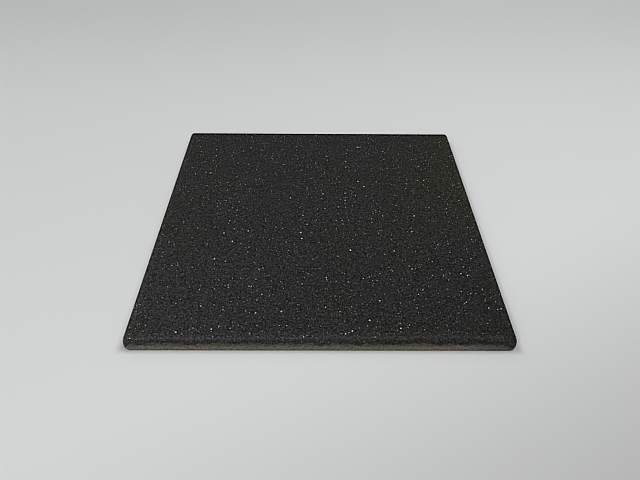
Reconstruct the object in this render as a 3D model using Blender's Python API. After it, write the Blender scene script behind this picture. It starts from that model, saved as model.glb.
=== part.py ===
"""Square ceramic floor tile with a cushion edge and a keyed back.

One pressed and fired piece. It lies on its back on the level plane z = 0,
with the wearing face up and the origin at the middle of the back.
Units are metres.
"""

import math

import bmesh
import bpy

# Driving dimensions of the fired tile
WIDTH = 0.200            # side of the square, over the widest part of the edge
THICKNESS = 0.0085       # back to wearing face
CORNER_RADIUS = 0.0038   # rounding of the four upright corners at the side, seen from above
FOOT_RADIUS = 0.0043     # and just above the foot, where they are rounder
ARRIS_REACH = 0.003      # how far the rounded top edge reaches in from the side
ARRIS_DROP = 0.0068      # how far the rounded top edge reaches down the side
BACK_CHAMFER = 0.0006    # small bevel round the back edge

# The glaze runs over the top edge and stops part of the way down the side
GLAZE_LINE = 0.0045      # height of the glaze's lower edge above the back

# Keying on the back: square pockets between straight lands
KEY_ROWS = 10            # pockets along each side, an even number
KEY_PITCH = 0.018        # from one pocket's middle to the next
KEY_MOUTH = 0.0145       # width of a pocket at the back face
KEY_DEPTH = 0.0006
KEY_DRAFT = 0.0004       # how much each wall leans in over the pocket's depth
CUTTER_EXTRA = 0.001     # how far the cutter stands out below the back

# Facets
ARRIS_STEPS = 10
CORNER_STEPS = 8
SMOOTH_BELOW = math.radians(30)

# Finishes: linear colour and roughness
GLAZE_COLOUR = (0.027, 0.027, 0.026)
GLAZE_ROUGHNESS = 0.6
CLAY_COLOUR = (0.105, 0.092, 0.070)
CLAY_ROUGHNESS = 0.9


def clear_scene():
    for item in list(bpy.data.objects):
        bpy.data.objects.remove(item)


def material(name, colour, roughness):
    made = bpy.data.materials.new(name)
    made.use_nodes = True
    shader = made.node_tree.nodes["Principled BSDF"]
    shader.inputs["Base Color"].default_value = (*colour, 1.0)
    shader.inputs["Roughness"].default_value = roughness
    shader.inputs["Metallic"].default_value = 0.0
    return made


def edge_section():
    """(inset, height, corner radius) down the edge: a quarter ellipse, the upright side, the back bevel."""
    section = []
    for step in range(ARRIS_STEPS + 1):
        turn = math.pi / 2 * step / ARRIS_STEPS
        inset = ARRIS_REACH * (1 - math.sin(turn))
        height = THICKNESS - ARRIS_DROP * (1 - math.cos(turn))
        section.append((inset, height, CORNER_RADIUS - inset))
    section.append((0.0, BACK_CHAMFER, FOOT_RADIUS))
    section.append((BACK_CHAMFER, 0.0, FOOT_RADIUS - BACK_CHAMFER))
    return section


def plan_outline(inset, radius):
    """Points of the rounded square, anticlockwise from above, drawn in by the inset."""
    middle = WIDTH / 2 - inset - radius
    points = []
    for corner in range(4):
        start = math.pi / 2 * corner
        centre_x = middle * (1 if corner in (0, 3) else -1)
        centre_y = middle * (1 if corner in (0, 1) else -1)
        for step in range(CORNER_STEPS + 1):
            turn = start + math.pi / 2 * step / CORNER_STEPS
            points.append((centre_x + radius * math.cos(turn), centre_y + radius * math.sin(turn)))
    return points


def tile_blank(glaze, clay):
    """The tile before its back is keyed: rings of the rounded square joined down the edge."""
    shape = bmesh.new()
    rings = []
    for inset, height, radius in edge_section():
        rings.append([shape.verts.new((x, y, height)) for x, y in plan_outline(inset, radius)])
    shape.faces.new(rings[0])
    for upper, lower in zip(rings, rings[1:]):
        count = len(upper)
        for this in range(count):
            following = (this + 1) % count
            shape.faces.new((upper[following], upper[this], lower[this], lower[following]))
    shape.faces.new(reversed(rings[-1]))
    for face in shape.faces:
        face.material_index = 0 if face.calc_center_median().z > GLAZE_LINE else 1
    mesh = bpy.data.meshes.new("tile")
    shape.to_mesh(mesh)
    shape.free()
    mesh.materials.append(glaze)
    mesh.materials.append(clay)
    mesh.shade_smooth()
    mesh.set_sharp_from_angle(angle=SMOOTH_BELOW)
    tile = bpy.data.objects.new("tile", mesh)
    bpy.context.scene.collection.objects.link(tile)
    return tile


def key_cutter(glaze, clay):
    """One tapered block for each pocket, wider towards its mouth."""
    lean = KEY_DRAFT / KEY_DEPTH
    levels = (
        (KEY_MOUTH / 2 + lean * CUTTER_EXTRA, -CUTTER_EXTRA),
        (KEY_MOUTH / 2 - KEY_DRAFT, KEY_DEPTH),
    )
    shape = bmesh.new()
    for row in range(KEY_ROWS):
        for column in range(KEY_ROWS):
            middle_x = KEY_PITCH * (column - (KEY_ROWS - 1) / 2)
            middle_y = KEY_PITCH * (row - (KEY_ROWS - 1) / 2)
            mouth, roof = (
                [
                    shape.verts.new((middle_x + sx * half, middle_y + sy * half, height))
                    for sx, sy in ((1, 1), (-1, 1), (-1, -1), (1, -1))
                ]
                for half, height in levels
            )
            shape.faces.new(roof)
            shape.faces.new(reversed(mouth))
            for this in range(4):
                following = (this + 1) % 4
                shape.faces.new((roof[following], roof[this], mouth[this], mouth[following]))
    for face in shape.faces:
        face.material_index = 1
    mesh = bpy.data.meshes.new("key_cutter")
    shape.to_mesh(mesh)
    shape.free()
    mesh.materials.append(glaze)
    mesh.materials.append(clay)
    cutter = bpy.data.objects.new("key_cutter", mesh)
    bpy.context.scene.collection.objects.link(cutter)
    cutter.hide_render = True
    cutter.display_type = "WIRE"
    return cutter


def main():
    clear_scene()
    glaze = material("charcoal_glaze", GLAZE_COLOUR, GLAZE_ROUGHNESS)
    clay = material("fired_clay", CLAY_COLOUR, CLAY_ROUGHNESS)
    tile = tile_blank(glaze, clay)
    keying = tile.modifiers.new("keying", "BOOLEAN")
    keying.operation = "DIFFERENCE"
    keying.solver = "EXACT"
    keying.object = key_cutter(glaze, clay)


main()
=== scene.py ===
"""Looks of a square ceramic floor tile with a speckled charcoal glaze.

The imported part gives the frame. This script adds the fired clay body, the glaze over its
face and top edge, the pale grains in the glaze, a pale floor, soft light and the camera.
Units are metres.
"""
import math

import bpy
import numpy as np
from mathutils import Matrix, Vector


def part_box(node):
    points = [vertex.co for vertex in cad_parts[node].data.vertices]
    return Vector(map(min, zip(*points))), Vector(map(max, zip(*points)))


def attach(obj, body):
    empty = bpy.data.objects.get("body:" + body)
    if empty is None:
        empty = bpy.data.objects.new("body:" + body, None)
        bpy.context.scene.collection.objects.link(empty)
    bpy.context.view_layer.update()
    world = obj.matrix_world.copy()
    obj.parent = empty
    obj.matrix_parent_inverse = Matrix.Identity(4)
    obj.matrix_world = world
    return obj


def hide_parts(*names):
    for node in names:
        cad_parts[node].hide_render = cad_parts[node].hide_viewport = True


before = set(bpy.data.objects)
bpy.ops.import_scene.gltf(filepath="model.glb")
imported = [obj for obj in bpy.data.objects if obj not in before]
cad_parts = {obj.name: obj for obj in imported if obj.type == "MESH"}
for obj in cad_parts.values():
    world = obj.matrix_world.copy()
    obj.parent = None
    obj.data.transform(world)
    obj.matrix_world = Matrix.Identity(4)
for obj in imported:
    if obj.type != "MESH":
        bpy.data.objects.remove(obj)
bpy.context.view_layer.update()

# Fired clay body
# One pressing of taupe clay. Its sides and its keyed back are bare, and the press leaves
# square pockets in the back for the adhesive. It is fired once, with its glaze on.
MM = 0.001
_, tile_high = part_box("tile")
HALF_WIDTH = tile_high.x
THICKNESS = tile_high.z
CORNER_RADIUS = 3.8 * MM       # of the upright corners at the side
FOOT_RADIUS = 4.3 * MM         # and just above the foot
ARRIS_REACH = 3.0 * MM         # the rounded top edge reaches this far in over the face
ARRIS_DROP = 6.8 * MM          # and this far down the side
FOOT_BEVEL = 0.6 * MM          # small bevel round the back edge
EDGE_SAMPLES = 300             # points down the rounded top edge
KEY_ROWS = 10                  # pockets along each side of the back
KEY_PITCH = 18.0 * MM          # from one pocket's middle to the next
KEY_MOUTH = 14.5 * MM          # width of a pocket at the back face
KEY_DEPTH = 0.6 * MM
KEY_DRAFT = 0.4 * MM           # how much each of its walls leans in
BAND_TOP = 5.9 * MM            # the clay's side is modelled up to here, under the glaze
CLAY_DENT = 0.06 * MM          # deepest dent of the pressed surface
BACK_DENT = 0.6 * CLAY_DENT    # and of the back
DENT_WAVES = ((0.30, 2.1, 21), (0.20, 5.3, 22))    # height, length in mm, seed
DENT_STOP = 0.1 * MM           # the back's dents stop this far inside the foot bevel
UNDER_GLAZE = 0.16 * MM        # how far the clay lies behind the tile's outline under the glaze
UNDER_START = 1.5 * MM         # it starts to go behind this far below the glaze line
UNDER_WAY = 1.2 * MM           # and is all the way behind after this much more
UNDER_FACE = 0.34 * MM         # how far it lies under the wearing face
UNDER_SHARES = (0.6, 0.3, 0.0)    # hidden rings: shares of the way from the face to the band's top
UNDER_DEEPEST = 1.3            # the innermost ring's depth, as a multiple of the depth under the face
GLAZE_LINE = 4.8 * MM          # mean height of the glaze's lower edge, before it is worn into teeth
CORNER_DIP = 3.2 * MM          # the glaze runs this much lower at the upright corners
CORNER_DIP_REACH = 3.6 * MM    # a dip fades over about this way
CORNER_DIP_LEAN = 1.3 * MM     # the dips reach this much further at the right, and less at the left
LINE_WAVES = ((0.25, 19.0, 11), (0.75, 6.0, 12), (0.52, 2.9, 13))    # height in mm, length in mm, seed
LOWEST_LINE = 0.9 * MM         # the glaze runs no lower than this
NOISE_CELLS = 512              # cells along each side of the noise's lattice
TINY = 1e-12                   # keeps a division away from zero
BAKE_MARGIN = 0.01             # left free round each piece's map


def smooth_step(value):
    """0 below 0, 1 above 1, and 3 t^2 - 2 t^3 between."""
    share = np.clip(value, 0.0, 1.0)
    return share * share * (3.0 - 2.0 * share)


def lattice_noise(x, y, cell, seed):
    """Smooth noise from -1 to 1.

    Seeded random values stand on a square lattice of the given cell, and 3 t^2 - 2 t^3
    joins them along x and along y.
    """
    size = NOISE_CELLS
    values = np.random.default_rng(seed).uniform(-1.0, 1.0, (size, size))
    column = np.floor(x / cell).astype(int)
    row = np.floor(y / cell).astype(int)
    across = smooth_step(x / cell - column)
    up = smooth_step(y / cell - row)
    low = values[row % size, column % size] * (1 - across)
    low += values[row % size, (column + 1) % size] * across
    high = values[(row + 1) % size, column % size] * (1 - across)
    high += values[(row + 1) % size, (column + 1) % size] * across
    return low * (1 - up) + high * up


def wave_sum(x, y, waves):
    """A sum of lattice noises, each with a height, a length in millimetres and a seed."""
    return sum(rise * lattice_noise(x, y, length * MM, seed) for rise, length, seed in waves)


def edge_table():
    """Distance walked from the flat face over the tile's edge, with what the edge is there.

    A quarter ellipse leads from the face to the side: inset = reach (1 - sin a) and height =
    thickness - drop (1 - cos a). The side then falls straight to the foot bevel. The last row
    is the radius that the level's corner has when it is drawn out to the full width.
    """
    angle = np.linspace(0.0, math.pi / 2, EDGE_SAMPLES)
    inset = np.append(ARRIS_REACH * (1 - np.sin(angle)), [0.0, FOOT_BEVEL])
    height = np.append(THICKNESS - ARRIS_DROP * (1 - np.cos(angle)), [FOOT_BEVEL, 0.0])
    corner = np.append(np.full(len(angle), CORNER_RADIUS), [FOOT_RADIUS, FOOT_RADIUS])
    walked = np.append(0.0, np.cumsum(np.hypot(np.diff(inset), np.diff(height))))
    return walked, inset, height, corner


EDGE_WALKED, EDGE_INSET, EDGE_HEIGHT, EDGE_CORNER = edge_table()
ARRIS_WALK = EDGE_WALKED[EDGE_SAMPLES - 1]    # the way over the rounded part alone


def walk_to(height):
    """Distance walked over the edge from the flat face down to a height."""
    return np.interp(THICKNESS - height, THICKNESS - EDGE_HEIGHT, EDGE_WALKED)


def ring_place(u, v, half, corner):
    """Plan place of grid point (u, v) on a rounded square ring, and its way to the corner.

    The larger of |u| and |v| names the ring, of the given half width and corner radius. The
    smaller over the larger is the share of the half side that is walked from its middle: the
    half side is half - corner long and then an eighth of a circle of radius corner. What is
    left of that walk is the way to the corner's middle.
    """
    faces_x = np.abs(u) >= np.abs(v)
    major = np.where(faces_x, u, v)
    minor = np.where(faces_x, v, u)
    share = np.abs(minor) / np.maximum(np.abs(major), TINY)
    straight = half - corner
    side = straight + corner * math.pi / 4
    walked = share * side
    turn = np.maximum(walked - straight, 0.0) / np.maximum(corner, TINY)
    turn = np.where(corner > TINY, turn, 0.0)
    along = (np.minimum(walked, straight) + corner * np.sin(turn)) * np.sign(minor)
    out = (straight + corner * np.cos(turn)) * np.sign(major)
    x = np.where(faces_x, out, along)
    y = np.where(faces_x, along, out)
    return x, y, side - walked


def glaze_line(u, v):
    """Height of the glaze's lower edge in the direction of grid point (u, v).

    A mean height, with waves of 19, 6 and 2.9 mm, less a dip at each upright corner that
    fades as exp(-(way to the corner / reach)^2). The reach grows with x, from left to right.
    """
    half = np.full(np.shape(u), HALF_WIDTH)
    x, y, to_corner = ring_place(u, v, half, np.full(np.shape(u), CORNER_RADIUS))
    waves = wave_sum(x, y, LINE_WAVES)
    reach = CORNER_DIP_REACH + CORNER_DIP_LEAN * x / HALF_WIDTH
    dip = CORNER_DIP * np.exp(-((to_corner / reach) ** 2))
    return np.maximum(GLAZE_LINE + waves * MM - dip, LOWEST_LINE)


def keying(x, y):
    """Depth of the back's pockets at (x, y).

    Each pocket is as deep as the product of two walls, one across x and one across y. A wall
    is the smooth step over the draft, counted inwards from the pocket's mouth.
    """
    def wall(place):
        from_middle = np.abs(np.mod(place / KEY_PITCH, 1.0) - 0.5) * KEY_PITCH
        inside = np.abs(place) < KEY_PITCH * KEY_ROWS / 2
        return smooth_step((KEY_MOUTH / 2 - from_middle) / KEY_DRAFT) * inside

    return KEY_DEPTH * wall(x) * wall(y)


def mirrored(line):
    """Grid lines on both sides of the middle, from the lines of one side."""
    return np.concatenate([-line[:0:-1], line])


def square_grid(line):
    """The grid's two parameters over all pairs of lines, and its cells, anticlockwise from above."""
    u, v = np.meshgrid(line, line)
    count = len(line)
    number = np.arange(count * count).reshape(count, count)
    cells = np.stack([number[:-1, :-1], number[:-1, 1:], number[1:, 1:], number[1:, :-1]], -1)
    return u, v, cells.reshape(-1, 4)


def rim_of(count):
    """Numbers of the points round a grid's rim, anticlockwise from above."""
    number = np.arange(count * count).reshape(count, count)
    return np.concatenate([number[0, :-1], number[:-1, -1], number[-1, :0:-1], number[:0:-1, 0]])


def put_map(mesh, name, places):
    """A map on a mesh, from one place in the unit square for each point."""
    corners = np.empty(len(mesh.loops), int)
    mesh.loops.foreach_get("vertex_index", corners)
    mesh.uv_layers.new(name=name).data.foreach_set("uv", places[corners].astype(np.float32).ravel())


def put_values(mesh, name, values):
    """A named value on a mesh, one for each point."""
    kept = mesh.attributes.new(name, "FLOAT", "POINT")
    kept.data.foreach_set("value", values.astype(np.float32))


def closed_piece(name, points, cells, rim, inner_rings, upwards, parameters, reach):
    """A closed mesh: the shown grid, rings that lead inwards from its rim, and a plain lid.

    Each inner ring has one point for each point of the rim. The grid's two parameters, over
    the given reach, are the piece's map for baking.
    """
    rings = [rim]
    for ring in inner_rings:
        rings.append(np.arange(len(rim)) + len(points))
        points = np.concatenate([points, ring])
    strips = []
    for a, b in zip(rings, rings[1:]):
        strips.append(np.stack([np.roll(a, -1), a, b, np.roll(b, -1)], -1))
    quads = np.concatenate([cells] + strips)
    lid = rings[-1][::-1]
    if not upwards:
        quads = quads[:, ::-1]
        lid = lid[::-1]
    mesh = bpy.data.meshes.new(name)
    mesh.from_pydata(points.tolist(), [], quads.tolist() + [lid.tolist()])
    mesh.polygons.foreach_set("use_smooth", np.ones(len(mesh.polygons), bool))
    flat = np.concatenate([parameters] + [parameters[rim]] * len(inner_rings)) / (2 * reach) + 0.5
    put_map(mesh, "OFBake", flat * (1 - 2 * BAKE_MARGIN) + BAKE_MARGIN)
    mesh.update()
    piece = bpy.data.objects.new(name, mesh)
    bpy.context.scene.collection.objects.link(piece)
    return piece


WALL_POINTS = 3                # lines of the body's grid across a pocket's wall
FLOOR_POINTS = 15              # across its floor
MARGIN_POINTS = 13             # from the last pocket to the foot bevel
BEVEL_POINTS = 3               # over the bevel
SIDE_POINTS = 18               # and up the side
LINE_DIGITS = 8                # lines that agree to this many digits are one


def back_lines():
    """Lines of the body's grid from the middle of the back out to the foot bevel.

    They stand close together at the pocket walls, and about 1 mm apart between them.
    """
    wall = np.linspace(0.0, KEY_DRAFT, WALL_POINTS)
    floor = np.linspace(KEY_DRAFT, KEY_MOUTH - KEY_DRAFT, FLOOR_POINTS)
    pocket = np.concatenate([wall, floor[1:-1], KEY_MOUTH - wall[::-1]])
    starts = (np.arange(KEY_ROWS // 2) + 0.5) * KEY_PITCH - KEY_MOUTH / 2
    lands = np.arange(KEY_ROWS // 2) * KEY_PITCH
    quarter = (KEY_PITCH - KEY_MOUTH) / 4
    margin = np.linspace(starts[-1] + KEY_MOUTH, HALF_WIDTH - FOOT_BEVEL, MARGIN_POINTS)
    parts = [(starts[:, None] + pocket).ravel(), lands, lands + quarter, lands[1:] - quarter, margin]
    return np.unique(np.round(np.concatenate(parts), LINE_DIGITS))


# The body's shown surface: the back, the foot bevel and the side up to the band's top. The
# grid's ring counts the way out over the back, and past it the height up the side.
BACK_REACH = HALF_WIDTH - FOOT_BEVEL
bevel_heights = np.linspace(0.0, FOOT_BEVEL, BEVEL_POINTS)[1:]
side_heights = np.linspace(FOOT_BEVEL, BAND_TOP, SIDE_POINTS)[1:]
body_line = np.concatenate([back_lines(), BACK_REACH + bevel_heights, BACK_REACH + side_heights])
u, v, cells = square_grid(mirrored(body_line))
ring = np.maximum(np.abs(u), np.abs(v))
height = np.maximum(ring - BACK_REACH, 0.0)
below_line = glaze_line(u, v) - height
behind_line = smooth_step((UNDER_START - below_line) / UNDER_WAY)
inset = np.interp(height, EDGE_HEIGHT[::-1], EDGE_INSET[::-1]) + UNDER_GLAZE * behind_line
dents = 0.5 + wave_sum(u, v, DENT_WAVES)
inset += CLAY_DENT * dents * (height > FOOT_BEVEL / 2)
half = np.where(ring < BACK_REACH, ring, HALF_WIDTH - inset)
level_corner = np.interp(height, EDGE_HEIGHT[::-1], EDGE_CORNER[::-1])
x, y, _ = ring_place(u, v, half, np.maximum(level_corner - HALF_WIDTH + half, 0.0))
on_back = ring < BACK_REACH - DENT_STOP
height += np.where(on_back, keying(x, y) + BACK_DENT * dents, 0.0)

# Its hidden top follows the rounded edge under the glaze and ends in a lid under the face
rim = rim_of(len(u))
rim_u = u.ravel()[rim]
rim_v = v.ravel()[rim]
inner_rings = []
for share in UNDER_SHARES:
    walked = share * walk_to(BAND_TOP)
    ring_inset = np.interp(walked, EDGE_WALKED, EDGE_INSET) + UNDER_FACE * share
    ring_height = np.interp(walked, EDGE_WALKED, EDGE_HEIGHT) - UNDER_FACE * (UNDER_DEEPEST - share)
    ring_half = np.full(len(rim), HALF_WIDTH - ring_inset)
    ring_x, ring_y, _ = ring_place(rim_u, rim_v, ring_half, CORNER_RADIUS - HALF_WIDTH + ring_half)
    inner_rings.append(np.stack([ring_x, ring_y, np.full(len(rim), ring_height)], -1))
clay_body = closed_piece(
    "clay_body",
    np.stack([x.ravel(), y.ravel(), height.ravel()], -1),
    cells,
    rim,
    inner_rings,
    upwards=False,
    parameters=np.stack([u.ravel(), v.ravel()], -1),
    reach=body_line[-1],
)


def add_node(tree, kind, inputs, **settings):
    """A node of this kind. A socket among its inputs is linked, and any other value is set."""
    node = tree.nodes.new(kind)
    for name, value in settings.items():
        setattr(node, name, value)
    for key, value in inputs.items():
        if isinstance(value, bpy.types.NodeSocket):
            tree.links.new(value, node.inputs[key])
        else:
            node.inputs[key].default_value = value
    return node


def maths(tree, way, first, second=0.0, third=0.0):
    """The output of a Math node that works in the given way."""
    return add_node(tree, "ShaderNodeMath", {0: first, 1: second, 2: third}, operation=way).outputs[0]


def colour_mix(tree, share, first, second):
    """The output of a colour Mix node: first where share is 0, second where it is 1."""
    inputs = {0: share, 6: first, 7: second}
    return add_node(tree, "ShaderNodeMix", inputs, data_type="RGBA").outputs[2]


def scaled(tree, colour, factor):
    """A colour times a value, as the output of a Vector Math node."""
    inputs = {0: colour, "Scale": factor}
    return add_node(tree, "ShaderNodeVectorMath", inputs, operation="SCALE").outputs[0]


def distance_to(tree, place, middle):
    """How far a place is from a fixed one, as the output of a Vector Math node."""
    inputs = {0: place, 1: middle}
    return add_node(tree, "ShaderNodeVectorMath", inputs, operation="DISTANCE").outputs[1]


def stretched(tree, value, source, target=(0.0, 1.0)):
    """The output of a Map Range node that takes one range of values to another, smoothly."""
    inputs = {"Value": value, "From Min": source[0], "From Max": source[1]}
    inputs.update({"To Min": target[0], "To Max": target[1]})
    return add_node(tree, "ShaderNodeMapRange", inputs, interpolation_type="SMOOTHSTEP").outputs[0]


def times(tree, first, second):
    """The output of a Math node: the product of two values."""
    return maths(tree, "MULTIPLY", first, second)


def one_plus(tree, value, share):
    """One plus a share of a value, to multiply a shade with."""
    return maths(tree, "MULTIPLY_ADD", value, share, 1.0)


def cloud(tree, place, wavelength, detail=2.0, roughness=0.5):
    """The value of a Noise texture whose lumps are about one wavelength apart."""
    inputs = {"Vector": place, "Scale": 1.0 / wavelength, "Detail": detail, "Roughness": roughness}
    return add_node(tree, "ShaderNodeTexNoise", inputs).outputs[0]


def new_group(name, inputs, outputs):
    """An empty shader node group with these sockets, and its two end nodes."""
    group = bpy.data.node_groups.new(name, "ShaderNodeTree")
    for socket in inputs:
        kind = "NodeSocketVector" if socket == "Place" else "NodeSocketFloat"
        group.interface.new_socket(socket, in_out="INPUT", socket_type=kind)
    for socket in outputs:
        group.interface.new_socket(socket, in_out="OUTPUT", socket_type="NodeSocketFloat")
    return group, group.nodes.new("NodeGroupInput"), group.nodes.new("NodeGroupOutput")


# The two groups below give the grains and the crumbs that the ware is made of
RAGGED_SCALE = 2.6             # the raggedness is this much finer than the cells
GRAIN_RAGGED = 1.6             # how far it moves a grain's outline, in grain radii
CRUMB_RAGGED = 0.9             # and a crumb's, in cells
SMALLEST_GRAIN = 0.6           # radius of the smallest grain, as a multiple of the given one
GRAIN_SPREAD = 0.8             # what the largest one has more
GRAIN_CORE = 0.6               # part of a grain's radius inside which it shows in full
WARMTH_SHUFFLE = 7.0           # makes a second random number of the first


def ragged_place(group, place, scale, reach):
    """A place moved by up to about half the reach, by noise finer than the grains."""
    inputs = {"Vector": place, "Scale": times(group, scale, RAGGED_SCALE), "Detail": 1.0}
    noise = add_node(group, "ShaderNodeTexNoise", inputs).outputs[1]
    inputs = {0: noise, 1: (0.5, 0.5, 0.5)}
    centred = add_node(group, "ShaderNodeVectorMath", inputs, operation="SUBTRACT").outputs[0]
    moved = scaled(group, centred, reach)
    return add_node(group, "ShaderNodeVectorMath", {0: place, 1: moved}).outputs[0]


def grains_group():
    """Grains scattered through the ware, as the surface cuts them.

    The nearest grain's middle comes from a Voronoi texture of the given cell, after a small
    warp that makes outlines ragged. A grain shows where its random number is under the given
    share, out to its own radius, which is 0.6 to 1.4 of the given one.
    """
    inputs = ("Place", "Cell", "Radius", "Share")
    group, given, out = new_group("grains", inputs, ("Mask", "Tone", "Warmth"))
    scale = maths(group, "DIVIDE", 1.0, given.outputs["Cell"])
    reach = times(group, given.outputs["Radius"], GRAIN_RAGGED)
    warped = ragged_place(group, given.outputs["Place"], scale, reach)
    nearest = add_node(group, "ShaderNodeTexVoronoi", {"Vector": warped, "Scale": scale})
    chance = add_node(group, "ShaderNodeSeparateColor", {0: nearest.outputs["Color"]})
    size = maths(group, "MULTIPLY_ADD", chance.outputs[1], GRAIN_SPREAD, SMALLEST_GRAIN)
    radius = times(group, times(group, given.outputs["Radius"], scale), size)
    core = times(group, radius, GRAIN_CORE)
    inside = stretched(group, nearest.outputs["Distance"], (radius, core))
    there = maths(group, "LESS_THAN", chance.outputs[0], given.outputs["Share"])
    group.links.new(times(group, inside, there), out.inputs["Mask"])
    group.links.new(chance.outputs[2], out.inputs["Tone"])
    warmth = maths(group, "FRACT", times(group, chance.outputs[2], WARMTH_SHUFFLE))
    group.links.new(warmth, out.inputs["Warmth"])


def crumbs_group():
    """Close-packed crumbs of the ware: each Voronoi cell of a ragged place has its own random tone."""
    group, given, out = new_group("crumbs", ("Place", "Cell"), ("Tone", "Height"))
    scale = maths(group, "DIVIDE", 1.0, given.outputs["Cell"])
    reach = times(group, given.outputs["Cell"], CRUMB_RAGGED)
    warped = ragged_place(group, given.outputs["Place"], scale, reach)
    nearest = add_node(group, "ShaderNodeTexVoronoi", {"Vector": warped, "Scale": scale})
    chance = add_node(group, "ShaderNodeSeparateColor", {0: nearest.outputs["Color"]})
    group.links.new(chance.outputs[0], out.inputs["Tone"])
    group.links.new(maths(group, "SUBTRACT", 1.0, nearest.outputs["Distance"]), out.inputs["Height"])


def add_group(tree, name, **inputs):
    """The outputs of a group placed in a material, with its own values."""
    return add_node(tree, "ShaderNodeGroup", inputs, node_tree=bpy.data.node_groups[name]).outputs


def new_material(name):
    """An empty node material: its tree, its Principled BSDF and the place on the piece."""
    material = bpy.data.materials.new(name)
    material.use_nodes = True
    tree = material.node_tree
    shader = tree.nodes["Principled BSDF"]
    place = tree.nodes.new("ShaderNodeTexCoord").outputs["Object"]
    return material, tree, shader, place


grains_group()
crumbs_group()
CLAY_TAUPE = (0.104, 0.098, 0.082, 1.0)
CLAY_RED = (0.114, 0.094, 0.079, 1.0)
CLAY_OLIVE = (0.096, 0.097, 0.064, 1.0)
CLAY_DARK = (0.030, 0.028, 0.022, 1.0)
CLAY_PALE = (0.42, 0.39, 0.32, 1.0)
CLAY_STAINED = (0.046, 0.043, 0.029, 1.0)

# Stains of the front side: the place of the middle along it, the half width and the colour
STAINS = (
    (29 * MM, 26 * MM, CLAY_OLIVE),
    (-61 * MM, 9 * MM, CLAY_RED),
    (62 * MM, 12 * MM, CLAY_RED),
)
STAIN_HEIGHT = 2 * MM          # of the middles above the back
STAIN_WAVE = 7 * MM            # size of the lobes of their outlines
STAIN_LOBE = 12 * MM           # and how far the lobes reach
STAIN_CORE = 0.35              # part of the half width inside which a stain has its full strength
STAIN_STRENGTH = 0.85

# Just under the glaze line the clay is stained dark, with a ragged lower edge
GLAZE_STAIN_RANGE = (4.2 * MM, 6.0 * MM)    # of the height plus the noise times the lobe
GLAZE_STAIN_STRENGTH = 0.75
GLAZE_STAIN_WAVE = 1.8 * MM    # size of the lobes of its edge
GLAZE_STAIN_LOBE = 2.4 * MM    # and how far they reach

# Shades are multiples of the colour, each over a range of noise, height or distance
NOISE_RANGE = (0.30, 0.70)     # what the middle of a noise's values covers
GRIT_SIZE = 1.1 * MM
CLAY_CRUMB = 0.62 * MM
CLAY_CRUMB_SHADES = (0.76, 1.26)
CLAY_GRIT_SHADES = (0.82, 1.18)
SIDE_RANGE = (1.0 * MM, 4.8 * MM)    # a little lighter at the foot than at the glaze
SIDE_SHADES = (1.10, 0.86)
SHADED_CORNER = (HALF_WIDTH, -HALF_WIDTH, 3.0 * MM)    # painted shade: the clay is painted darker round this place
CORNER_SHADE_RANGE = (34 * MM, 3 * MM)
CORNER_PAINTED_SHADES = (1.0, 0.52)
FOOT_LIGHT_RANGE = (0.3 * MM, 1.0 * MM)    # painted light: the foot bevel and the lands of the back are painted paler
FOOT_PAINTED_LIGHT = (1.9, 1.0)
DARK_GRAIN_STRENGTH = 0.55
PALE_GRAIN_STRENGTH = 0.3
DARK_GRAIN_DEPTH = 0.6         # in the bump, as a multiple of the grit's height
CLAY_BUMP = 0.14 * MM          # depth of the finest relief
ROUGH_RANGE = (0.2, 0.8)
CLAY_ROUGHNESS = (0.98, 0.82)

clay, tree, shader, place = new_material("fired_clay")
level = add_node(tree, "ShaderNodeSeparateXYZ", {0: place}).outputs[2]
colour = CLAY_TAUPE
for middle, half_width, stain in STAINS:
    away = distance_to(tree, place, (middle, -HALF_WIDTH, STAIN_HEIGHT))
    away = maths(tree, "SUBTRACT", away, STAIN_LOBE / 2)
    away = maths(tree, "MULTIPLY_ADD", cloud(tree, place, STAIN_WAVE), STAIN_LOBE, away)
    share = stretched(tree, away, (half_width, STAIN_CORE * half_width))
    colour = colour_mix(tree, times(tree, share, STAIN_STRENGTH), colour, stain)
crumbs = add_group(tree, "crumbs", Place=place, Cell=CLAY_CRUMB)
grit = cloud(tree, place, GRIT_SIZE, 3.0, 0.7)
shade = stretched(tree, crumbs["Tone"], (0.0, 1.0), CLAY_CRUMB_SHADES)
shade = times(tree, shade, stretched(tree, grit, NOISE_RANGE, CLAY_GRIT_SHADES))
shade = times(tree, shade, stretched(tree, level, SIDE_RANGE, SIDE_SHADES))
# Painted shade, darker towards the front right corner
to_corner = distance_to(tree, place, SHADED_CORNER)
shade = times(tree, shade, stretched(tree, to_corner, CORNER_SHADE_RANGE, CORNER_PAINTED_SHADES))
# Painted light, paler on the clay below about a millimetre
shade = times(tree, shade, stretched(tree, level, FOOT_LIGHT_RANGE, FOOT_PAINTED_LIGHT))
edge = maths(tree, "MULTIPLY_ADD", cloud(tree, place, GLAZE_STAIN_WAVE), GLAZE_STAIN_LOBE, level)
stained = stretched(tree, edge, GLAZE_STAIN_RANGE, (0.0, GLAZE_STAIN_STRENGTH))
colour = colour_mix(tree, stained, colour, CLAY_STAINED)
colour = scaled(tree, colour, shade)
dark = add_group(tree, "grains", Place=place, Cell=1.25 * MM, Radius=0.30 * MM, Share=0.34)
pale = add_group(tree, "grains", Place=place, Cell=1.35 * MM, Radius=0.24 * MM, Share=0.20)
colour = colour_mix(tree, times(tree, dark["Mask"], DARK_GRAIN_STRENGTH), colour, CLAY_DARK)
colour = colour_mix(tree, times(tree, pale["Mask"], PALE_GRAIN_STRENGTH), colour, CLAY_PALE)
relief = maths(tree, "MULTIPLY_ADD", dark["Mask"], -DARK_GRAIN_DEPTH, grit)
bump = add_node(tree, "ShaderNodeBump", {"Height": relief, "Distance": CLAY_BUMP, "Strength": 0.8})
tree.links.new(bump.outputs[0], shader.inputs["Normal"])
tree.links.new(colour, shader.inputs["Base Color"])
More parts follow.
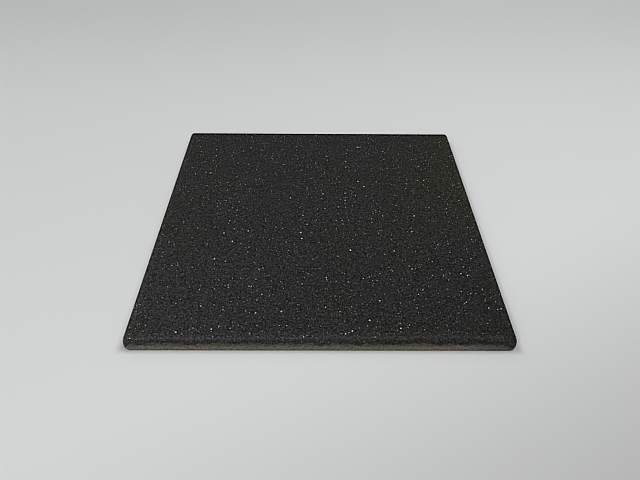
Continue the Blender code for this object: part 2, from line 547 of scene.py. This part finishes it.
tree.links.new(stretched(tree, grit, ROUGH_RANGE, CLAY_ROUGHNESS), shader.inputs["Roughness"])
shader.inputs["Specular IOR Level"].default_value = 0.3
clay_body.data.materials.append(clay)
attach(clay_body, "root")
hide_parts("tile")

# Glaze
# A matt charcoal glaze, sprayed on the face from above. It is about half a millimetre thick
# on the face, thins over the rounded top edge, and stops in a ragged line on the side.
FLAT_REACH = HALF_WIDTH - ARRIS_REACH
FACE_CELLS = 133               # of the grid, from the middle of the face to its flat edge
EDGE_CELLS = 13                # and from there to where the lip starts
EDGE_WAY = 6.4 * MM            # the grid's own measure of the way over the edge
LIP_START = 0.965              # share of the way at which the lower lip starts to turn in
LIP_TURN = 0.7                 # how far it turns in, as a share of its thickness
LIP_LINES = (0.985, 1.0)       # the grid's last lines, as shares of the way
GLAZE_LIP = 0.12 * MM          # thickness at the lip
GLAZE_THICK = 0.26 * MM        # and at the top of the rounded edge
INNER_SHARES = (0.99, 0.66, 0.33, 0.0)    # inner rings: shares of the way from the face to the lip
GLAZE_SWELL = 0.05 * MM        # height of the slow swells and of the fine orange peel
SWELL_WAVES = ((0.20, 9.0, 31), (0.17, 3.1, 32), (0.13, 1.6, 33))    # height, length in mm, seed
CROWN_REACH = 5.0 * MM         # the face starts to fall this far inside its flat edge
CROWN_FALL = 0.13 * MM         # and has fallen this much at it
GLAZE_REACH = FLAT_REACH + EDGE_WAY


def glaze_surface(u, v):
    """Place of the glaze's outer surface at grid point (u, v), and how far it still runs down.

    Up to the edge of the flat face the larger of |u| and |v| is the ring's half width. Past
    it, the share of the remaining way is the share walked over the edge, from the face down
    to the glaze line. The surface lies under the tile's outline by a noise of 9, 3.1 and
    1.6 mm waves and by the crown. With t from 0 to 1 over the crown's reach, that is
    fall t^2 up to the face's edge and fall (2 t - 1) past it. The surface turns in at its
    lower lip. The second result goes on growing over the face.
    """
    ring = np.maximum(np.abs(u), np.abs(v))
    share = np.clip((ring - FLAT_REACH) / EDGE_WAY, 0.0, 1.0)
    to_line = walk_to(glaze_line(u, v))
    walked = share * to_line
    swell = 0.5 + wave_sum(u, v, SWELL_WAVES)
    edge_way = HALF_WIDTH - np.interp(walked, EDGE_WALKED, EDGE_INSET)
    flat_way = np.where(ring < FLAT_REACH, ring, edge_way)
    crown = np.maximum((flat_way - FLAT_REACH + CROWN_REACH) / CROWN_REACH, 0.0)
    crown = CROWN_FALL * np.where(crown < 1.0, crown**2, 2 * crown - 1)
    sunk = GLAZE_SWELL * swell
    turned = smooth_step(walked / ARRIS_WALK)
    inset = np.interp(walked, EDGE_WALKED, EDGE_INSET) + sunk * turned
    inset += LIP_TURN * GLAZE_LIP * smooth_step((share - LIP_START) / (1 - LIP_START))
    half = np.where(ring < FLAT_REACH, ring, HALF_WIDTH - inset)
    level_corner = np.interp(walked, EDGE_WALKED, EDGE_CORNER)
    x, y, _ = ring_place(u, v, half, np.maximum(level_corner - HALF_WIDTH + half, 0.0))
    z = np.interp(walked, EDGE_WALKED, EDGE_HEIGHT) - (sunk + crown) * (1 - turned)
    return np.stack([x, y, z], -1), to_line - walked + np.maximum(FLAT_REACH - ring, 0.0)


face_line = np.linspace(0.0, FLAT_REACH, FACE_CELLS + 1)
edge_shares = np.append(np.linspace(0.0, LIP_START, EDGE_CELLS + 1)[1:], LIP_LINES)
u, v, cells = square_grid(mirrored(np.concatenate([face_line, FLAT_REACH + EDGE_WAY * edge_shares])))
points, to_lip = glaze_surface(u, v)

# The inner side follows the outer one back up from the lip and ends in a lid under the face
rim = rim_of(len(u))
rim_u = u.ravel()[rim]
rim_v = v.ravel()[rim]
to_line = walk_to(glaze_line(rim_u, rim_v))
inner_rings = []
for share in INNER_SHARES:
    thickness = GLAZE_LIP + (GLAZE_THICK - GLAZE_LIP) * (1 - share)
    ring_half = HALF_WIDTH - np.interp(share * to_line, EDGE_WALKED, EDGE_INSET) - thickness
    sunk = (GLAZE_THICK + 2 * CROWN_FALL) * (1 - share)
    ring_height = np.interp(share * to_line, EDGE_WALKED, EDGE_HEIGHT) - sunk
    level_corner = np.interp(share * to_line, EDGE_WALKED, EDGE_CORNER)
    ring_x, ring_y, _ = ring_place(rim_u, rim_v, ring_half, level_corner - HALF_WIDTH + ring_half)
    inner_rings.append(np.stack([ring_x, ring_y, ring_height], -1))
glaze_coat = closed_piece(
    "glaze_coat",
    points.reshape(-1, 3),
    cells,
    rim,
    inner_rings,
    upwards=True,
    parameters=np.stack([u.ravel(), v.ravel()], -1),
    reach=GLAZE_REACH,
)
on_inner_rings = np.zeros(len(rim) * len(inner_rings))
put_values(glaze_coat.data, "to_lip", np.concatenate([to_lip.ravel(), on_inner_rings]))

CHARCOAL = (0.0248, 0.0248, 0.0242, 1.0)
CHARCOAL_OLIVE = (0.0244, 0.0254, 0.0190, 1.0)
SOOT = (0.0012, 0.0012, 0.0012, 1.0)
SPECK_WHITE = (0.66, 0.655, 0.64, 1.0)
SPECK_CREAM = (0.52, 0.505, 0.455, 1.0)
LIP_OLIVE = (0.0360, 0.0340, 0.0240, 1.0)
LIP_CLAY = (0.060, 0.056, 0.043, 1.0)

# An olive patch with a lobed outline, and faint ones where a slow noise is high
OLIVE_PATCH = (107 * MM, 45 * MM, THICKNESS)
PATCH_RANGE = (103 * MM, 44 * MM)    # of the distance from its middle, from no tint to the full one
PATCH_WAVE = 20 * MM           # size of the lobes of its outline
PATCH_LOBE = 40 * MM           # and how far they reach
FAINT_WAVE = 38 * MM
FAINT_RANGE = (0.52, 0.66)
FAINT_STRENGTH = 0.32

# Shades are multiples of the colour, each over a range of noise, place or way to the lip
GLAZE_CRUMB = 0.56 * MM
GLAZE_CRUMB_SHADES = (0.52, 1.52)
GLAZE_GRIT_SHADES = (0.65, 1.35)
FRONT_SHADE_RANGE = (20 * MM, -90 * MM)    # painted light and shade: towards the front the tone leans from lighter at the left to darker at the right
SHADE_LEAN_SLOPE = -1.9              # change of the tone over a metre to the right
SHADE_LEAN_MIDDLE = -0.05            # and at the middle
CREST_RANGE = (8.0 * MM, 5.6 * MM)    # the rounded edge is smoother, and painted lighter as a painted highlight
CREST_PAINTED_HIGHLIGHT = 0.18
CREST_GLOSS = 0.06
BAND_RANGE = (3.9 * MM, 2.5 * MM)    # and below it the glaze is painted darker, as painted shade
BAND_PAINTED_SHADE = 0.26

# The lip has an olive tint, and a worn edge where the clay shows between the glaze's teeth
LIP_RANGE = (1.7 * MM, 0.3 * MM)
LIP_STRENGTH = 0.9
TEETH_WAVE = 1.5 * MM          # from one tooth to the next, about
TEETH_RANGE = (0.42, 0.58)
TEETH_REACH = (-0.4 * MM, 0.7 * MM)
BARE_RANGE = (-0.25 * MM, 0.2 * MM)

# The specks' strength grows with the square of a random tone
FINE_STRENGTH = 0.40
COARSE_STRENGTH = 0.56
WEAKEST_SPECK = 0.06
CREST_PITS = 0.5               # the pits on the crest are this much weaker
GLAZE_BUMP = 0.10 * MM         # depth of the finest relief
PIT_DEPTH = 0.5                # in the bump, as a multiple of the grit's height
SPECK_RISE = 0.5
GLAZE_ROUGHNESS = (0.56, 0.44)

glaze, tree, shader, place = new_material("charcoal_glaze")
away = distance_to(tree, place, OLIVE_PATCH)
away = maths(tree, "MULTIPLY_ADD", cloud(tree, place, PATCH_WAVE), PATCH_LOBE, away)
patch = stretched(tree, away, PATCH_RANGE)
faint = stretched(tree, cloud(tree, place, FAINT_WAVE, 1.5), FAINT_RANGE, (0.0, FAINT_STRENGTH))
olive = maths(tree, "MAXIMUM", patch, faint)
colour = colour_mix(tree, olive, CHARCOAL, CHARCOAL_OLIVE)
to_lip = add_node(tree, "ShaderNodeAttribute", {}, attribute_name="to_lip").outputs["Fac"]
lip = stretched(tree, to_lip, LIP_RANGE, (0.0, LIP_STRENGTH))
colour = colour_mix(tree, lip, colour, LIP_OLIVE)
crumbs = add_group(tree, "crumbs", Place=place, Cell=GLAZE_CRUMB)
grit = cloud(tree, place, GRIT_SIZE, 2.0, 0.65)
shade = stretched(tree, crumbs["Tone"], (0.0, 1.0), GLAZE_CRUMB_SHADES)
shade = times(tree, shade, stretched(tree, grit, NOISE_RANGE, GLAZE_GRIT_SHADES))
across, deep, _ = add_node(tree, "ShaderNodeSeparateXYZ", {0: place}).outputs
# Painted light and shade: lighter at the front left, darker at the front right
front = stretched(tree, deep, FRONT_SHADE_RANGE)
painted_lean = maths(tree, "MULTIPLY_ADD", across, SHADE_LEAN_SLOPE, SHADE_LEAN_MIDDLE)
shade = times(tree, shade, one_plus(tree, front, painted_lean))
# Painted highlight along the crest of the rounded edge; it also weakens the pits and the roughness
# there
crest = stretched(tree, to_lip, CREST_RANGE)
shade = times(tree, shade, one_plus(tree, crest, CREST_PAINTED_HIGHLIGHT))
# Painted shade on the lower part of the rounded edge
band = stretched(tree, to_lip, BAND_RANGE)
shade = times(tree, shade, one_plus(tree, band, -BAND_PAINTED_SHADE))
colour = scaled(tree, colour, shade)
pits = add_group(tree, "grains", Place=place, Cell=1.05 * MM, Radius=0.36 * MM, Share=0.38)
depth = times(tree, pits["Mask"], one_plus(tree, crest, -CREST_PITS))
colour = colour_mix(tree, depth, colour, SOOT)
fine = add_group(tree, "grains", Place=place, Cell=0.95 * MM, Radius=0.20 * MM, Share=0.25)
coarse = add_group(tree, "grains", Place=place, Cell=1.7 * MM, Radius=0.30 * MM, Share=0.16)
for grains, strength in ((fine, FINE_STRENGTH), (coarse, COARSE_STRENGTH)):
    speck = colour_mix(tree, grains["Warmth"], SPECK_WHITE, SPECK_CREAM)
    tone = maths(tree, "POWER", grains["Tone"], 2.0)
    share = maths(tree, "MULTIPLY_ADD", tone, strength, WEAKEST_SPECK)
    colour = colour_mix(tree, times(tree, grains["Mask"], share), colour, speck)
teeth = stretched(tree, cloud(tree, place, TEETH_WAVE, 1.0), TEETH_RANGE, TEETH_REACH)
bare = stretched(tree, maths(tree, "SUBTRACT", teeth, to_lip), BARE_RANGE)
colour = colour_mix(tree, bare, colour, LIP_CLAY)
relief = maths(tree, "MULTIPLY_ADD", depth, -PIT_DEPTH, grit)
relief = maths(tree, "MULTIPLY_ADD", coarse["Mask"], SPECK_RISE, relief)
bump = add_node(tree, "ShaderNodeBump", {"Height": relief, "Distance": GLAZE_BUMP, "Strength": 0.7})
tree.links.new(bump.outputs[0], shader.inputs["Normal"])
tree.links.new(colour, shader.inputs["Base Color"])
rough = stretched(tree, grit, ROUGH_RANGE, GLAZE_ROUGHNESS)
rough = maths(tree, "MULTIPLY_ADD", crest, -CREST_GLOSS, rough)
tree.links.new(rough, shader.inputs["Roughness"])
shader.inputs["Specular IOR Level"].default_value = 0.09
glaze_coat.data.materials.append(glaze)
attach(glaze_coat, "root")

# Pale grains
# Coarse grains of feldspar, scattered on the wet glaze and melted in at the firing. They
# stand a little proud of it and show as the brightest specks.
GRAIN_COUNT = 450
GRAIN_SIDES = 6
GRAIN_RADIUS = 0.24 * MM       # of a middling grain
GRAIN_RISE = 0.07 * MM         # how far it stands out of the glaze
GRAIN_SUNK = 0.06 * MM         # and how deep its foot lies in it
GRAIN_LEVELS = ((0.95, -GRAIN_SUNK), (1.0, 0.2 * GRAIN_RISE), (0.55, GRAIN_RISE))    # spread and lift
GRAIN_VARIETY = 0.28           # spread of the logarithm of their size
GRAIN_REACH = FLAT_REACH + 3.4 * MM    # some lie on the rounded edge
OUTLINE_RAGGED = (0.75, 1.2)   # range of each point's own spread
LIFT_RAGGED = (0.7, 1.0)       # and lift
BAKE_CELLS = 32                # the grains' map is a square of this many cells along each side
BAKE_RADII = (0.44, 0.30, 0.14)    # of a grain's levels within its cell of the map
STEP = 0.2 * MM                # for the slope of the glaze under a grain
chance = np.random.default_rng(41)
middle = chance.uniform(-GRAIN_REACH, GRAIN_REACH, (GRAIN_COUNT, 2))

# Three directions at each grain's middle: two along the glaze and one out of it
at = glaze_surface(middle[:, 0], middle[:, 1])[0]
along_u = glaze_surface(middle[:, 0] + STEP, middle[:, 1])[0] - at
along_v = glaze_surface(middle[:, 0], middle[:, 1] + STEP)[0] - at
along_u /= np.linalg.norm(along_u, axis=1, keepdims=True)
outwards = np.cross(along_u, along_v)
outwards /= np.linalg.norm(outwards, axis=1, keepdims=True)
along_v = np.cross(outwards, along_u)

# A grain is three uneven rings of six points, joined by two belts and closed at both ends
size = GRAIN_RADIUS * np.exp(GRAIN_VARIETY * chance.standard_normal(GRAIN_COUNT))
sides = np.arange(GRAIN_SIDES)
angle = chance.uniform(0.0, 2 * math.pi, GRAIN_COUNT)[:, None] + sides * 2 * math.pi / GRAIN_SIDES
levels = []
for radius, rise in GRAIN_LEVELS:
    spread = size[:, None] * radius * chance.uniform(*OUTLINE_RAGGED, (GRAIN_COUNT, GRAIN_SIDES))
    lift = rise * chance.uniform(*LIFT_RAGGED, (GRAIN_COUNT, GRAIN_SIDES))
    point = at[:, None] + (spread * np.cos(angle))[..., None] * along_u[:, None]
    sideways = (spread * np.sin(angle))[..., None] * along_v[:, None]
    point += sideways + lift[..., None] * outwards[:, None]
    levels.append(point)
points = np.stack(levels, 1).reshape(-1, 3)
points[:, 2] = np.minimum(points[:, 2], THICKNESS)
after = (sides + 1) % GRAIN_SIDES
belt = np.stack([sides, after, after + GRAIN_SIDES, sides + GRAIN_SIDES], -1)
belts = np.concatenate([belt, belt + GRAIN_SIDES])
start = np.arange(GRAIN_COUNT)[:, None] * len(GRAIN_LEVELS) * GRAIN_SIDES
walls = (start[:, None] + belts).reshape(-1, 4)
tops = start + sides + 2 * GRAIN_SIDES
bottoms = start + sides[::-1]
mesh = bpy.data.meshes.new("pale_grains")
mesh.from_pydata(points.tolist(), [], walls.tolist() + tops.tolist() + bottoms.tolist())
tone = chance.uniform(0.0, 1.0, GRAIN_COUNT)
put_values(mesh, "grain_tone", np.repeat(tone, len(GRAIN_LEVELS) * GRAIN_SIDES))

# Each grain has a cell of its own in the map for baking
cell = np.stack([np.arange(GRAIN_COUNT) % BAKE_CELLS, np.arange(GRAIN_COUNT) // BAKE_CELLS], -1)
spoke_angle = sides * 2 * math.pi / GRAIN_SIDES
spoke = np.stack([np.cos(spoke_angle), np.sin(spoke_angle)], -1)
reach = np.array(BAKE_RADII)[:, None, None]
put_map(mesh, "OFBake", ((cell[:, None, None] + 0.5 + reach * spoke) / BAKE_CELLS).reshape(-1, 2))
mesh.update()
pale_grains = bpy.data.objects.new("pale_grains", mesh)
bpy.context.scene.collection.objects.link(pale_grains)

FELDSPAR_GREY = (0.20, 0.195, 0.18, 1.0)
FELDSPAR_CREAM = (0.85, 0.84, 0.80, 1.0)
FELDSPAR_CURVE = 1.6           # more of the grains are grey than cream
FELDSPAR_CLOUD = 0.25 * MM     # size of the cloudy places within a grain
FELDSPAR_SHADES = (0.8, 1.1)
feldspar, tree, shader, place = new_material("feldspar")
tone = add_node(tree, "ShaderNodeAttribute", {}, attribute_name="grain_tone").outputs["Fac"]
colour = colour_mix(tree, maths(tree, "POWER", tone, FELDSPAR_CURVE), FELDSPAR_GREY, FELDSPAR_CREAM)
cloudy = stretched(tree, cloud(tree, place, FELDSPAR_CLOUD), NOISE_RANGE, FELDSPAR_SHADES)
tree.links.new(scaled(tree, colour, cloudy), shader.inputs["Base Color"])
shader.inputs["Roughness"].default_value = 0.35
pale_grains.data.materials.append(feldspar)
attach(pale_grains, "root")

# Floor, light and camera
# A pale, slightly green grey floor that reaches past the view, under a wide ceiling light, one
# from the front left and a weak one from behind on the left, and the photograph's camera.
FLOOR_REACH = 4.0
FLOOR_GREY = (0.755, 0.766, 0.759, 1.0)
# The floor's colour in its painted shadow
FLOOR_SHADOWED = (0.430, 0.433, 0.431, 1.0)

# Its paint holds painted shade: a painted shadow to the front right, a little painted shade to the
# back and the left, and a painted contact shadow in a narrow strip beside the tile
SHADOW_SLOPE = 0.5                # the way to the front right is this share of x, less y
SHADOW_RANGE = (0.07, 0.31)       # metres of that way, from the pale floor to the painted shadow
# Painted shade, a little darker to the back
BACK_RANGE = (0.12, 0.42)
BACK_PAINTED_SHADES = (1.0, 0.91)
ACROSS_RANGE = (-0.30, 0.30)
ACROSS_SHADES = (0.94, 1.05)   # evens out the light from the left
# Painted contact shadow beside the left and right sides
CONTACT_RANGE = (HALF_WIDTH + 5 * MM, HALF_WIDTH)    # of |x|, out from the left and right sides
CONTACT_ENDS = (HALF_WIDTH + 3 * MM, HALF_WIDTH - 2 * MM)    # of |y|, where the strips end
CONTACT_PAINTED_SHADOW = 0.36
floor_mesh = bpy.data.meshes.new("floor")
floor_corners = FLOOR_REACH * np.array([(-1, -1, 0), (1, -1, 0), (1, 1, 0), (-1, 1, 0)])
floor_mesh.from_pydata(floor_corners.tolist(), [], [(0, 1, 2, 3)])
floor = bpy.data.objects.new("floor", floor_mesh)
bpy.context.scene.collection.objects.link(floor)
paint, tree, shader, place = new_material("floor_paint")
across, deep, _ = add_node(tree, "ShaderNodeSeparateXYZ", {0: place}).outputs
# Painted shadow to the front right
way = maths(tree, "MULTIPLY_ADD", across, SHADOW_SLOPE, times(tree, deep, -1.0))
colour = colour_mix(tree, stretched(tree, way, SHADOW_RANGE), FLOOR_GREY, FLOOR_SHADOWED)
# Painted shade to the back
colour = scaled(tree, colour, stretched(tree, deep, BACK_RANGE, BACK_PAINTED_SHADES))
colour = scaled(tree, colour, stretched(tree, across, ACROSS_RANGE, ACROSS_SHADES))
# Painted contact shadow in a narrow strip beside the tile's left and right sides
beside = stretched(tree, maths(tree, "ABSOLUTE", across), CONTACT_RANGE)
between_ends = stretched(tree, maths(tree, "ABSOLUTE", deep), CONTACT_ENDS)
contact = times(tree, beside, between_ends)
colour = scaled(tree, colour, one_plus(tree, contact, -CONTACT_PAINTED_SHADOW))
tree.links.new(colour, shader.inputs["Base Color"])
shader.inputs["Roughness"].default_value = 0.7
shader.inputs["Specular IOR Level"].default_value = 0.2
floor.data.materials.append(paint)


def soft_light(name, place, aim, width, depth, power):
    """An area light at a place, turned to look at its aim."""
    lamp = bpy.data.lights.new(name, "AREA")
    lamp.shape = "RECTANGLE"
    lamp.size = width
    lamp.size_y = depth
    lamp.energy = power
    light = bpy.data.objects.new(name, lamp)
    light.location = place
    away = light.location - type(light.location)(aim)
    light.rotation_euler = away.to_track_quat("Z", "Y").to_euler()
    bpy.context.scene.collection.objects.link(light)


soft_light("front_light", place=(-0.75, -1.65, 1.45), aim=(0, 0, 0), width=1.5, depth=1.2, power=29)
soft_light("ceiling_light", place=(0.35, -0.05, 2.2), aim=(0, 0, 0), width=2.2, depth=1.4, power=21)
soft_light("back_light", place=(-1.30, 1.70, 2.0), aim=(0, 0, 0), width=1.0, depth=0.8, power=5)
ROOM_COLOUR = (0.97, 1.0, 0.99, 1.0)
ROOM_STRENGTH = 0.17
world = bpy.data.worlds.new("room")
world.use_nodes = True
background = world.node_tree.nodes["Background"]
background.inputs["Color"].default_value = ROOM_COLOUR
background.inputs["Strength"].default_value = ROOM_STRENGTH
bpy.context.scene.world = world
bpy.context.scene.view_settings.view_transform = "Standard"

# The camera's place and turn are a fit to the tile's outline in the photograph
CAMERA_PLACE = (-0.002430, -0.261145, 0.221821)
CAMERA_PITCH = math.radians(42.129)
CAMERA_YAW = math.radians(-0.601)
CAMERA_ROLL = math.radians(0.600)
CAMERA_LENS = 29.774           # and its sensor's width, both in millimetres
CAMERA_SENSOR = 36.0
CAMERA_NEAR = 0.01             # nothing nearer is drawn
lens = bpy.data.cameras.new("camera")
lens.lens = CAMERA_LENS
lens.sensor_width = CAMERA_SENSOR
lens.clip_start = CAMERA_NEAR
camera = bpy.data.objects.new("camera", lens)
bpy.context.scene.collection.objects.link(camera)
turn = Matrix.Rotation(CAMERA_YAW, 4, "Z") @ Matrix.Rotation(math.pi / 2 - CAMERA_PITCH, 4, "X")
camera.matrix_world = Matrix.Translation(CAMERA_PLACE) @ turn @ Matrix.Rotation(CAMERA_ROLL, 4, "Z")
bpy.context.scene.camera = camera

# A camera sharpens its picture, which draws the thin dark line round the tile and round its
# specks. The render's own light is sharpened by the same measure, on a display scale.
DISPLAY_GAMMA = 2.2
SHARPENING = 0.17
BRIGHTEST = 0.835              # the sharpening lifts nothing above this display value
bpy.context.scene.use_nodes = True
tree = bpy.context.scene.node_tree
tree.nodes.clear()
seen = tree.nodes.new("CompositorNodeRLayers").outputs["Image"]
seen = add_node(tree, "CompositorNodeGamma", {"Image": seen, "Gamma": 1 / DISPLAY_GAMMA}).outputs[0]
inputs = {"Fac": SHARPENING, "Image": seen}
sharp = add_node(tree, "CompositorNodeFilter", inputs, filter_type="SHARPEN")
ceiling = (BRIGHTEST, BRIGHTEST, BRIGHTEST, 1.0)
inputs = {0: 1.0, 1: sharp.outputs[0], 2: ceiling}
held = add_node(tree, "CompositorNodeMixRGB", inputs, blend_type="DARKEN")
seen = add_node(tree, "CompositorNodeGamma", {"Image": held.outputs[0], "Gamma": DISPLAY_GAMMA})
add_node(tree, "CompositorNodeComposite", {"Image": seen.outputs[0]})
